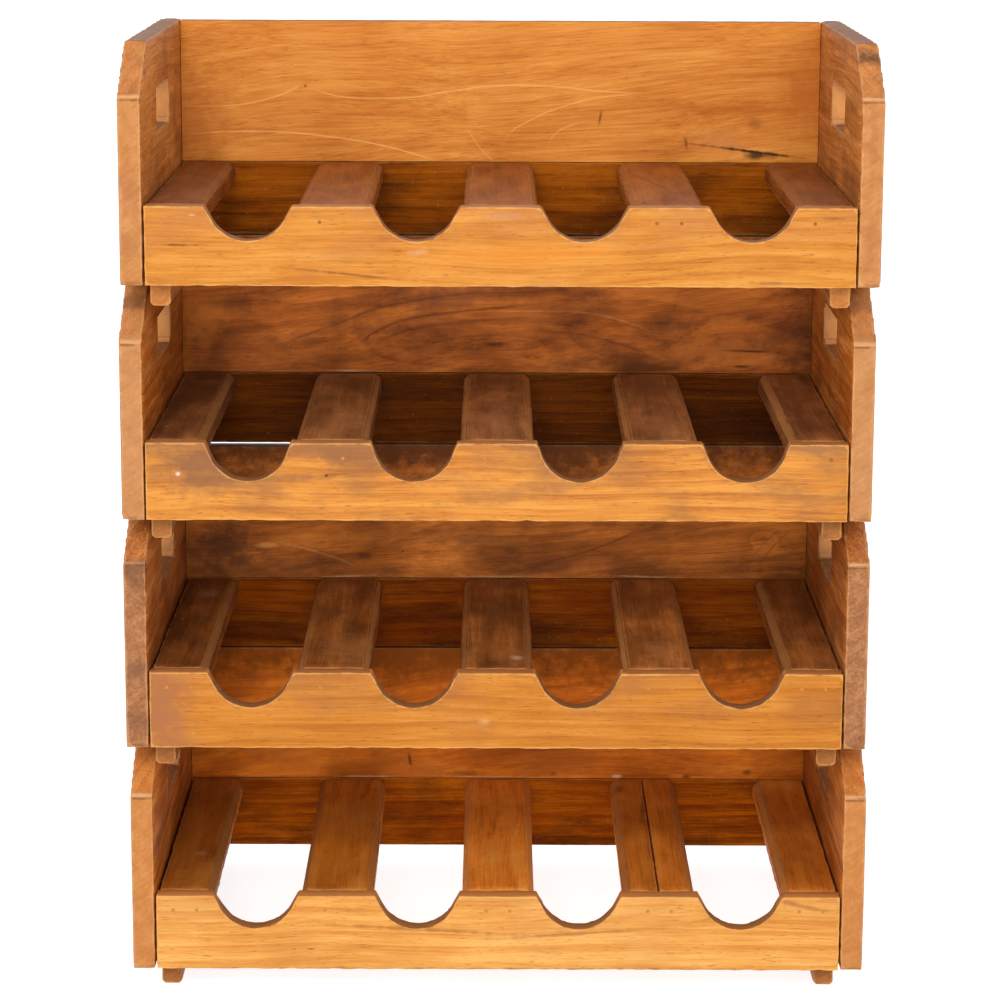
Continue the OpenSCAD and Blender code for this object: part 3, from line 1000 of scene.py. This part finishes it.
# Each knot is a place (x, z), half sizes, how far it lifts the rings, a colour and a strength
PANEL_KNOTS = {
    "crate_1": [],
    "crate_2": [(225, 95, 6, 3, 9, "#3e200c", 0.4)],
    "crate_3": [(0, 84, 13, 2.4, 18, "#3a1c0a", 0.85)],
    "crate_4": [(-160, 122, 2.4, 2.4, 14, "#5e2c10", 0.9),
                (213, 66.5, 15, 4.5, 30, "#2c1606", 0.9)],
}

# %% Growth lines of the back boards
# Growth lines drawn on single boards: a colour, a strength, half a width and places (x, z)
PANEL_LINES = {
    "crate_1": [("#5a2a08", 0.5, 1.0, [(-262, 60.6), (-150, 61), (-20, 60.6)])],
    "crate_2": [("#d89a5c", 0.35, 1.6, [(-186, 91), (-144, 80), (-118, 70)]),
                ("#4e2810", 0.5, 1.4, [(40, 74), (75, 83), (122, 103)]),
                ("#4e2810", 0.4, 2.5, [(-30, 98), (30, 96), (85, 106)]),
                ("#5a3014", 0.4, 1.5, [(212, 70), (222, 86), (240, 104)]),
                ("#5a3014", 0.4, 1.5, [(222, 70), (232, 86), (248, 102)])],
    "crate_3": [("#56280e", 0.45, 1.8, [(-175, 86), (-133, 101), (-92, 116), (-20, 127)]),
                ("#4a220c", 0.55, 1.8, [(-117, 82), (-96, 97), (-74, 105), (-36, 111), (20, 116)]),
                ("#4a220c", 0.4, 2.2, [(-104, 80), (-80, 94), (-36, 102), (30, 106)]),
                ("#e09a5c", 0.35, 1.2, [(0, 112), (62, 112), (111, 102), (134, 91)]),
                ("#5a2c10", 0.4, 1.8, [(30, 96), (72, 92), (104, 84), (130, 74)])],
    "crate_4": [("#e0a860", 0.45, 1.0, [(-262, 105), (-225, 105.5), (-196, 110), (-162, 124)]),
                ("#e0a860", 0.45, 1.0, [(-160, 124), (-146, 117), (-105, 112), (-40, 118),
                                        (10, 123), (45, 122), (82, 118.5), (118, 117)]),
                ("#e0a860", 0.5, 1.0, [(-262, 82), (-191, 84.5), (-137, 80), (-100, 74),
                                       (-76, 68), (-50, 60)]),
                ("#e0a860", 0.4, 1.0, [(-28, 92), (-25, 84), (-5, 60)]),
                ("#e0a860", 0.4, 1.0, [(3, 74), (8, 84), (18, 91), (66, 110), (110, 116)]),
                ("#e0a860", 0.3, 1.3, [(38, 66), (41, 78), (52, 88), (95, 97)]),
                ("#a8581c", 0.4, 2.5, [(60, 92), (110, 100), (170, 106), (240, 104)])],
}

# %% Marks on the back boards
# Besides knots, stains, streaks and checks, some rows are painted shade, each marked where it
# stands
PANEL_MARKS = {
    "crate_1": [(-150, 90, 120, 25, 0, "#d87a20", 0.3),
                # Painted shade: the wide dark band along the top, under the crate above
                (0, 174, 700, 38, 0, "#7c3e02", 1.0),
                (-75, 76, 2, 9, 10, "#4a2006", 0.8),
                (-30, 64, 22, 4, 0, "#5e2c08", 0.7),
                (48, 64, 6, 3, 0, "#4a2006", 0.7),
                (162, 62, 6, 3, 0, "#4a2006", 0.7),
                (213, 66, 5, 3, 0, "#4a2006", 0.7),
                (102, 62, 5, 2, 0, "#e0b890", 0.6),
                (-116, 61.4, 34, 1.2, 0, "#d0a070", 0.6),
                (0, 61.4, 40, 1.2, 0, "#d0a070", 0.5)],
    # Painted shade in the first row: the wide dark band along the top, under the crate above
    "crate_2": [(0, 174, 700, 38, 0, "#5e300c", 1.0),
                (-232, 86, 42, 34, 0, "#4a2a18", 0.75),
                (-192, 88, 14, 3, 0, "#e09850", 0.5),
                (-111, 79, 11, 4, 0, "#4a2412", 0.7),
                (-79, 83, 2, 1.6, 0, "#2c1206", 0.8),
                (30, 66, 40, 4, 4, "#4e2c1c", 0.5),
                (0, 92, 90, 9, -4, "#5a3418", 0.4),
                (-123, 61.4, 34, 1.2, 2, "#c89c74", 0.6),
                (0, 61.4, 40, 1.2, 0, "#c89c74", 0.5),
                (125, 61.6, 34, 1.2, -2, "#c89c74", 0.6)],
    # Painted shade in the first row: the wide dark band along the top, under the crate above
    "crate_3": [(0, 174, 700, 38, 0, "#5a2c0a", 0.8),
                (-245, 104, 26, 26, 0, "#d07a28", 0.5),
                (-215, 118, 22, 12, 0, "#3e2010", 0.45),
                (-40, 124, 110, 12, 4, "#5a3220", 0.55),
                (182, 77, 62, 15, 0, "#c8742e", 0.55),
                (150, 99, 28, 10, 0, "#4e2a18", 0.6),
                (118, 67, 30, 8, 0, "#4a2a14", 0.6),
                # Painted shade: the dark right end, next to the side board
                (262, 100, 34, 70, 0, "#3e1e0a", 0.6),
                (210, 79, 26, 1.4, -2, "#2c1606", 0.8),
                (204, 66, 9, 1.6, 0, "#2c1606", 0.8),
                (-123, 61.4, 26, 1.2, 0, "#c0957a", 0.6)],
    # Painted shade in the first row: the darker left end, in the left side board's shade
    "crate_4": [(-250, 90, 34, 60, 0, "#a4581f", 0.55),
                # Painted shadow: the darker upper right corner, by the right side board
                (252, 118, 34, 44, 0, "#a8581a", 0.7),
                (200, 103, 85, 4, 0, "#a8581a", 0.6),
                (82, 96, 1.6, 9, -10, "#5e2d0e", 0.8),
                (180, 79, 32, 14, 0, "#b5703e", 0.5),
                (153, 76, 2, 7, 10, "#6a3412", 0.7),
                (206, 69.5, 60, 1.6, -7, "#2c1406", 0.95),
                (209, 92, 10, 7, 0, "#8f4e1c", 0.6)],
}

# %% Back rails and back boards
BACK_CELLS, BACK_EASE = (5 * MM, 5.4 * MM, 5 * MM), 0.6 * MM
for part in ("back_rail", "back_panel"):
    pattern_low, pattern_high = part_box("crate_1_" + part)
    pattern = sawn_block(part + "_pattern", pattern_low, pattern_high)
    ease(pattern, BACK_EASE)
    rule(pattern, BACK_CELLS)
    clear_bench()
    for crate in CRATES:
        node = f"{crate}_{part}"
        board = copy_board(pattern, node + "_board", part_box(node)[0] - pattern_low)
        tones = (BACK_RAIL_SHADED_TONES if part == "back_rail" else PANEL_TONES)[crate]
        if part == "back_panel":
            finish = wood("waxed_back_panel_" + crate[-1], "X", tones, crate, turn=(0, 4, 2),
                          top=("#6b4630", 0.6), rub_and_highlight=0.1, wax=0.1, lines=PANEL_LINES[crate],
                          knots=on_face(PANEL_KNOTS[crate], PANEL_FACE, PANEL_DEEP),
                          marks=on_face(PANEL_MARKS[crate], PANEL_FACE, PANEL_DEEP),
                          **PANEL_FIGURE[crate])
        else:
            finish = wood("waxed_back_rail_" + crate[-1], "X", tones, crate, flow=14,
                          graded_blotches=("#2e1404", 0.6, 60, 0), rub_and_highlight=0.1, wax=0.03)
        if node == "crate_2_back_panel":
            wane_corner(board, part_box(node)[1].z)
        wear_and_edge_highlight(board, node, faces=0.1 * MM, edges=0.1 * MM, chips=0.2 * MM)
        # The back rails' outside is paler than their inner faces, which carry painted shade
        hand_over(board, node, finish, log=(0, 60, -20 if part == "back_panel" else -80),
                  outside=1.0 if part == "back_panel" else BACK_RAIL_UNSHADED_OUTSIDE[crate])
    bpy.data.objects.remove(pattern)
    print("four boards:", part)

# %% [markdown]
# ## Slats
#
# Five slats run from front to back. Bottles rest between them, so their long top edges are
# chamfered where a bottle lies. The end slats are narrower and have one chamfer, towards the
# bay. In the bottom crate the fourth slat is two strips laid side by side.

# %% Slat finishes
SLAT_TONES = {
    # The bottom crate's slat tones are raised with painted light, for the light that reaches into
    # the lowest bay
    "crate_1": ("#a04c08", "#e8842a", "#f5a848"),
    "crate_2": ("#784016", "#a15b25", "#cd7f3f"),
    "crate_3": ("#784219", "#9f6032", "#c9824a"),
    "crate_4": ("#7c3a0c", "#98501a", "#a55c26"),
}
# How pale each slat of a crate is, from left to right, with the bottom crate's two strips
SLAT_SHADES = {
    "crate_1": (0.47, 0.63, 1.02, 0.7, 0.84, 0.78),
    "crate_2": (0.66, 0.89, 0.77, 0.99, 0.77),
    "crate_3": (0.53, 0.75, 0.91, 0.82, 0.89),
    "crate_4": (0.7, 0.93, 0.95, 0.95, 0.8),
}
# Each mark is a place (x, y), half sizes, a tilt in degrees, a colour and a strength
SLAT_TOP, SLAT_DEEP = 60, 9
# Rows marked below are painted light on the slats' front halves and painted shade at their backs;
# the rest are scuffs, stains and checks
SLAT_MARKS = {
    # Painted light in the first row, on the front of the left end slat
    "crate_1": [(-225, -120, 40, 60, 0, "#f09a3c", 0.5),
                (-215, 40, 8, 14, 0, "#e8c8a8", 0.35),
                # Painted light, on the front of the second slat
                (-130, -60, 16, 110, 0, "#f08a20", 0.4),
                (-236, -60, 5, 8, 0, "#e8c8a8", 0.3),
                (100, 118, 9, 12, 0, "#1c0e06", 0.6),
                (120, 60, 3, 60, 4, "#4a2006", 0.5)],
    "crate_2": [(-238, 90, 10, 18, 10, "#c8a080", 0.4),
                # Painted light, on the front of the second slat
                (-110, -90, 30, 60, 0, "#c8824a", 0.35),
                # Painted light, on the front of the middle slat
                (10, -110, 30, 40, 0, "#c87c3c", 0.35),
                (16, -120, 6, 9, 0, "#e8c8a8", 0.4),
                # Painted light, on the front of the fourth slat
                (130, -100, 20, 50, 0, "#c88248", 0.35)],
    "crate_3": [(-240, 100, 16, 10, 0, "#a87c5c", 0.5),
                # Painted light, on the front of the second slat
                (-115, -80, 22, 90, 0, "#b87a48", 0.4),
                # Painted light, on the front of the middle slat
                (0, -70, 24, 80, 0, "#b87a4c", 0.35),
                # Painted shade, at the back of the middle slat
                (0, 100, 30, 50, 0, "#5a3018", 0.5),
                # Painted light, on the front of the fourth slat
                (128, -90, 20, 70, 0, "#b87a4c", 0.35),
                # Painted shade, at the back of the second slat
                (-125, 110, 30, 40, 0, "#5a3018", 0.4)],
    "crate_4": [(118, 0, 2, 120, -12, "#5e2e10", 0.6)],
}
SLAT_STAINS = {"crate_1": 0.2, "crate_2": 0.45, "crate_3": 0.45, "crate_4": 0.3}
SLAT_STREAKS = {"crate_1": 0.22, "crate_2": 0.35, "crate_3": 0.35, "crate_4": 0.3}
SLAT_CHAMFER = 5 * MM
# The top crate's chamfers are darker than the others, which are rubbed pale
CHAMFER_TONES = {crate: ("#94592f", 0.55) if crate == "crate_4" else ("#b67c48", 0.6)
                 for crate in CRATES}


def slat_finish(crate):
    """The finish of one crate's slats."""
    marks = [((x, y, SLAT_TOP), (wide, long, SLAT_DEEP), *rest)
             for x, y, wide, long, *rest in SLAT_MARKS[crate]]
    return wood("waxed_slat_" + crate[-1], "Y", SLAT_TONES[crate], crate, rings=0.12,
                streaks=SLAT_STREAKS[crate], fibres=SLAT_STREAKS[crate], edge="#c98a55",
                rub_and_highlight=0.4, chamfer=CHAMFER_TONES[crate], flecks=0.4, wax=0.15, marks=marks,
                graded_blotches=("#3e2010", SLAT_STAINS[crate], 0, 1))


# %% Sawing one slat
END_SLATS_FROM = 200 * MM


def saw_slat(node, low, high, left, right):
    """Returns a new slat over this box, with its top chamfered left, right or both."""
    slat = sawn_block(node + "_board", low, high)
    mark_edges(slat, lambda middle, way: abs(way.y) > 0.99 and middle.z > high.z - MM
               and ((left and middle.x < low.x + MM) or (right and middle.x > high.x - MM)))
    bpy.ops.mesh.bevel(offset=SLAT_CHAMFER, segments=1, clamp_overlap=False)
    ease(slat)
    rule(slat)
    return slat


# %% Slats
slat_count = 0
for crate in CRATES:
    rail_low, rail_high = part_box(crate + "_front_rail")
    middle_x = (rail_low.x + rail_high.x) / 2
    finish = slat_finish(crate)
    nodes = sorted(node for node in frame["nodes"]
                   if node.startswith(crate + "_slat_") and not node.endswith("nails"))
    for node, shade in zip(nodes, SLAT_SHADES[crate]):
        low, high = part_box(node)
        left = low.x >= middle_x - END_SLATS_FROM and "right_strip" not in node
        right = high.x <= middle_x + END_SLATS_FROM and "left_strip" not in node
        slat = saw_slat(node, low, high, left, right)
        wear_and_edge_highlight(slat, node)
        slat_count += 1
        hand_over(slat, node, finish, log=(30 - 17 * (slat_count % 4), 0, -45), tone=shade)
print(slat_count, "slats")

# %% [markdown]
# ## Side boards
#
# A side board is one wide board on edge. Its upper front corner is sawn to a slope, and a hand
# hole with rounded corners is cut through it. The hole could be a boolean, but scoring its four
# sides, deleting the two faces and bridging the rims is how it is marked out and sawn. Left and
# right are alike, so the right one is a copy.

# %% Side board finishes
SLOPE_STARTS = {"crate_1": 139 * MM, "crate_2": 144 * MM, "crate_3": 135 * MM,
                "crate_4": 139 * MM}
SLOPE_RUN = 58 * MM
HOLE_LONG, HOLE_HIGH, HOLE_Z, HOLE_CORNER = 97 * MM, 33 * MM, 118.5 * MM, 5 * MM
SIDE_TONES = {
    "crate_1": ("#823c0c", "#b4621e", "#d8893c"),
    "crate_2": ("#7a3a10", "#a85c24", "#d08a48"),
    "crate_3": ("#8a3e06", "#b2611f", "#d88e48"),
    "crate_4": ("#8a4812", "#ad652a", "#cc8444"),
}
SIDE_ENDS = {
    "crate_1": ("#925526", "#a76b37", "#b57e4a"),
    "crate_2": ("#6c4126", "#8c5b39", "#a4714a"),
    "crate_3": ("#8c5932", "#a36e42", "#b17d50"),
    "crate_4": ("#8a5228", "#a56d3c", "#b37f50"),
}


def side_marks(crate):
    """The ridge at the kink of both front edges, and what happened to single boards."""
    kink = SLOPE_STARTS[crate] / MM
    marks = []
    for x in (-271, 271):
        marks.append(((x, HOLE_LONG / 2 / MM, HOLE_Z / MM), (20, 4, 30), 0, "#d89454", 0.7))
        marks += [((x, -165, kink), (40, 9, 1.8), 0, "#bd8b61", 0.8),
                  ((x, -165, kink - 2.5), (40, 9, 1.2), 0, "#6a3e20", 0.7),
                  ((x, -165, 1.5), (40, 9, 2.5), 0, "#6a3e20", 0.5)]
    if crate == "crate_2":
        marks += [((-271, -165, 138), (40, 9, 20), 0, "#613c29", 0.7),
                  ((-271, -165, 60), (40, 9, 14), 0, "#51372c", 0.5),
                  ((-271, -165, 20), (40, 9, 16), 0, "#5c3a29", 0.4)]
    if crate == "crate_3":
        marks += [((-271, -140, 160), (40, 30, 8), 0, "#5c3c29", 0.6),
                  ((271, -140, 160), (40, 30, 8), 0, "#5c3c29", 0.5)]
    if crate == "crate_4":
        marks += [((-271, -165, 70), (12, 9, 22), 20, "#935a35", 0.6),
                  ((-271, -165, 32), (40, 9, 12), 0, "#935a35", 0.5),
                  ((271, -125, 168), (40, 16, 9), 0, "#432c1e", 0.85),
                  ((271, -165, 110), (5, 9, 40), 0, "#8f5830", 0.5),
                  ((271, -165, 40), (6, 9, 30), 0, "#8f5830", 0.5)]
    return marks


# %% Sawing a hand hole
def cut_hand_hole(board, low):
    """Scores the hole's four sides, deletes both faces, bridges the rims, rounds the corners."""
    middle_z = low.z + HOLE_Z
    for side in (-1, 1):
        score(board, (0, side * HOLE_LONG / 2, 0), (0, 1, 0))
        score(board, (0, 0, middle_z + side * HOLE_HIGH / 2), (0, 0, 1))
    mark_faces(board, lambda middle, normal: abs(normal.x) > 0.9
               and abs(middle.y) < HOLE_LONG / 2 and abs(middle.z - middle_z) < HOLE_HIGH / 2)
    bpy.ops.mesh.delete(type="FACE")
    bpy.ops.mesh.select_mode(type="EDGE")
    bpy.ops.mesh.select_all(action="DESELECT")
    bpy.ops.mesh.select_non_manifold()
    bpy.ops.mesh.bridge_edge_loops()
    mark_edges(board, lambda middle, way: abs(way.x) > 0.99
               and abs(abs(middle.y) - HOLE_LONG / 2) < MM
               and abs(abs(middle.z - middle_z) - HOLE_HIGH / 2) < MM)
    bpy.ops.mesh.bevel(offset=HOLE_CORNER, segments=5, clamp_overlap=False)
    bpy.ops.mesh.select_all(action="SELECT")
    bpy.ops.mesh.normals_make_consistent(inside=False)


# %% Side boards
SIDE_CELLS = (6 * MM, 5 * MM, 5 * MM)
for crate in CRATES:
    low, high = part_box(crate + "_left_side")
    pattern = sawn_block("side_pattern", low, high)
    foot = Vector((0, low.y, low.z + SLOPE_STARTS[crate]))
    rise = high.z - foot.z
    score(pattern, foot, (0, -rise, SLOPE_RUN), clear=True)
    cut_hand_hole(pattern, low)
    ease(pattern)
    rule(pattern, SIDE_CELLS)
    clear_bench()
    finish = wood("waxed_side_" + crate[-1], "Y", SIDE_TONES[crate], crate, rings=0.2,
                  streaks=0.35, patches=0.35, ends=SIDE_ENDS[crate], edge="#b98657", rub_and_highlight=0.45,
                  end_specks=0.6 if crate == "crate_2" else 0.2, top=("#6b4630", 0.75),
                  graded_blotches=("#5a3014", 0.45, 176, 20), marks=side_marks(crate))
    for side in ("left", "right"):
        node = f"{crate}_{side}_side"
        board = copy_board(pattern, node + "_board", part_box(node)[0] - low)
        wear_and_edge_highlight(board, node, edges=0.9 * MM, chips=0.9 * MM)
        hand_over(board, node, finish, log=(50 if side == "left" else -40, 0, 30))
    bpy.data.objects.remove(pattern)
print("eight side boards")

# %% [markdown]
# ## Cleats
#
# Two cleats hang under each crate, just inside the side boards of the crate below, and stop it
# from sliding. Their lower edges are eased more than the rest, because they have to find their
# way in. One is modelled and seven are copied.

# %% Cleats
# The top crate's cleats are of paler wood than the rest
CLEAT_SHADES = {"crate_1": 1.0, "crate_2": 1.0, "crate_3": 1.0, "crate_4": 1.42}
CLEAT_LEAD, CLEAT_EASE = 2.5 * MM, 0.8 * MM
cleat_finish = wood("waxed_cleat", "Y", ("#643618", "#90532a", "#aa7040"), "crate_1",
                    ends=("#683a1c", "#8a5428", "#a0683a"), rub_and_highlight=0.3)
pattern_low, pattern_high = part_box("crate_1_left_cleat")
cleat_pattern = sawn_block("cleat_pattern", pattern_low, pattern_high)
mark_edges(cleat_pattern, lambda middle, way: abs(way.y) > 0.99
           and middle.z < pattern_low.z + MM)
bpy.ops.mesh.bevel(offset=CLEAT_LEAD, segments=1, clamp_overlap=False)
ease(cleat_pattern, CLEAT_EASE)
rule(cleat_pattern)
clear_bench()
for crate in CRATES:
    for side in ("left", "right"):
        node = f"{crate}_{side}_cleat"
        cleat = copy_board(cleat_pattern, node + "_board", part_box(node)[0] - pattern_low)
        wear_and_edge_highlight(cleat, node, edges=0.4 * MM, chips=0.4 * MM)
        hand_over(cleat, node, cleat_finish, log=(20, 0, 35), tone=CLEAT_SHADES[crate])
bpy.data.objects.remove(cleat_pattern)
print("eight cleats")

# %% [markdown]
# ## Nails
#
# Two nails pin each end of every slat, and more hold the sides. They are round-headed wire
# nails, dark with age. A nail is a short cylinder whose head is inset and dished a little,
# with a shank extruded from below. One is modelled, copied and turned to each place, and each
# crate's slat nails and side nails are joined into two pieces. Old wire has brown oxide on it and
# hardly any shine.
# On the fronts most heads are set and covered with putty, matt and nearly as pale as the rail.

# %% Nail finish
nail_finish = bpy.data.materials.new("old_wire_nail")
nail_finish.use_nodes = True
steel = nail_finish.node_tree
rust = lay(steel, "TexNoise", {"Vector": lay(steel, "TexCoord").outputs["Object"],
                               "Scale": 900.0, "Detail": 3.0})
rust_ramp = lay(steel, "ValToRGB", {"Fac": rust.outputs["Fac"]})
set_ramp(rust_ramp, [(0.35, "#1c1008"), (0.55, "#3a2416"), (0.7, "#5a4030")])
filled = lay(steel, "Attribute", attribute_name="filled")
putty = lay(steel, "Mix", {0: filled.outputs["Fac"], 6: rust_ramp.outputs["Color"],
                           7: "#ab7434"}, data_type="RGBA")
steel.links.new(putty.outputs[2], steel.nodes["Principled BSDF"].inputs["Base Color"])
steel.nodes["Principled BSDF"].inputs["Roughness"].default_value = 0.65
steel.nodes["Principled BSDF"].inputs["Specular IOR Level"].default_value = 0.1


# %% One nail
HEAD_RADIUS, SHANK_RADIUS, HEAD_DEEP, NAIL_LONG = 1.35 * MM, 1.0 * MM, 1.0 * MM, 40 * MM
HEAD_RIM, HEAD_DISH, TIP_LONG = 0.35 * MM, 0.1 * MM, 2 * MM


def make_nail():
    """One nail at the origin, pointing down, with its head's top just under zero."""
    clear_bench()
    bpy.ops.mesh.primitive_cylinder_add(vertices=12, radius=HEAD_RADIUS, depth=HEAD_DEEP,
                                        location=(0, 0, -HEAD_DEEP / 2))
    nail = bpy.context.object
    bpy.ops.object.transform_apply(location=True, rotation=True, scale=True)
    bpy.ops.object.mode_set(mode="EDIT")
    mark_faces(nail, lambda middle, normal: normal.z > 0.9)
    bpy.ops.mesh.inset(thickness=HEAD_RIM)
    bpy.ops.transform.translate(value=(0, 0, -HEAD_DISH))
    mark_faces(nail, lambda middle, normal: normal.z < -0.9)
    bpy.ops.mesh.inset(thickness=HEAD_RADIUS - SHANK_RADIUS)
    bpy.ops.mesh.extrude_region_move(
        TRANSFORM_OT_translate={"value": (0, 0, HEAD_DEEP - NAIL_LONG + TIP_LONG)})
    bpy.ops.mesh.extrude_region_move(TRANSFORM_OT_translate={"value": (0, 0, -TIP_LONG)})
    bpy.ops.transform.resize(value=(0.2, 0.2, 1), center_override=(0, 0, 0))
    clear_bench()
    return nail


nail_pattern = make_nail()
print("one nail:", len(nail_pattern.data.polygons), "faces")


# %% Driving nails
def drive_nails(node, places):
    """Copies the nail to each place and turn, and joins the copies into the node's piece."""
    copies = []
    for place, turn, filler in places:
        pick_up(nail_pattern)
        bpy.ops.object.duplicate()
        nail = bpy.context.object
        filled = nail.data.attributes.new("filled", "FLOAT", "POINT")
        filled.data.foreach_set("value", [filler] * len(nail.data.vertices))
        nail.location = place
        nail.rotation_euler = turn
        bpy.ops.object.transform_apply(location=True, rotation=True, scale=True)
        copies.append(nail)
    pick_up(copies[0])
    for nail in copies:
        nail.select_set(True)
    bpy.ops.object.join()
    piece = bpy.context.object
    piece.name = piece.data.name = node + "_set"
    stand_in(piece, node, nail_finish)
    print(node, len(places), "nails")


# %% Nails
NAIL_PAIR, NAIL_DROP = 18 * MM, 12 * MM
# How much of a head is covered, and which heads stayed bare, in mm from the crate's middle
PUTTY, THIN_PUTTY, TOP_PUTTY = 0.9, 0.45, 0.5
BARE_HEADS = {"crate_3": (248,), "crate_4": (-133, -132, 114, 115, 132, 133, 230)}

for crate in CRATES:
    rail_low, rail_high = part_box(crate + "_front_rail")
    back_low, back_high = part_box(crate + "_back_rail")
    side_low, side_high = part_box(crate + "_left_side")[0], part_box(crate + "_right_side")[1]
    middle_x = (rail_low.x + rail_high.x) / 2
    spots = []
    slat_middles = [middle_x + k * NOTCH_PITCH for k in (-1, 0, 1)]
    for end in ("1", "5"):
        low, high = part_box(f"{crate}_slat_{end}")
        slat_middles.append((low.x + high.x) / 2)
    nail_z = rail_high.z - NAIL_DROP
    for x in slat_middles:
        for step in (-NAIL_PAIR / 2, NAIL_PAIR / 2):
            bare = round((x + step - middle_x) / MM) in BARE_HEADS.get(crate, ())
            spots.append(((x + step, rail_low.y, nail_z), (math.pi / 2, 0, 0),
                          THIN_PUTTY if bare else PUTTY))
            spots.append(((x + step, back_high.y, nail_z), (-math.pi / 2, 0, 0), 0.0))
    for side in ("left", "right"):
        low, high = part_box(f"{crate}_{side}_cleat")
        slat_low, slat_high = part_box(f"{crate}_slat_{'1' if side == 'left' else '5'}")
        for k in (-1, 0, 1):
            spots.append((((low.x + high.x) / 2, k * (slat_high.y - slat_low.y) / 3,
                           slat_high.z), (0, 0, 0), TOP_PUTTY))
    drive_nails(crate + "_slat_nails", spots)
    spots = []
    rail_rows = [rail_low.z + (rail_high.z - rail_low.z) * k / 4 for k in (1, 3)]
    board_rows = [rail_high.z + (side_high.z - rail_high.z) * k / 6 for k in (1, 3, 5)]
    for x, turn in ((side_low.x, -math.pi / 2), (side_high.x, math.pi / 2)):
        for z in rail_rows:
            spots.append(((x, (rail_low.y + rail_high.y) / 2, z), (0, turn, 0), 0.0))
        for z in rail_rows + board_rows:
            spots.append(((x, (back_low.y + back_high.y) / 2, z), (0, turn, 0), 0.0))
    drive_nails(crate + "_side_nails", spots)
bpy.data.objects.remove(nail_pattern)
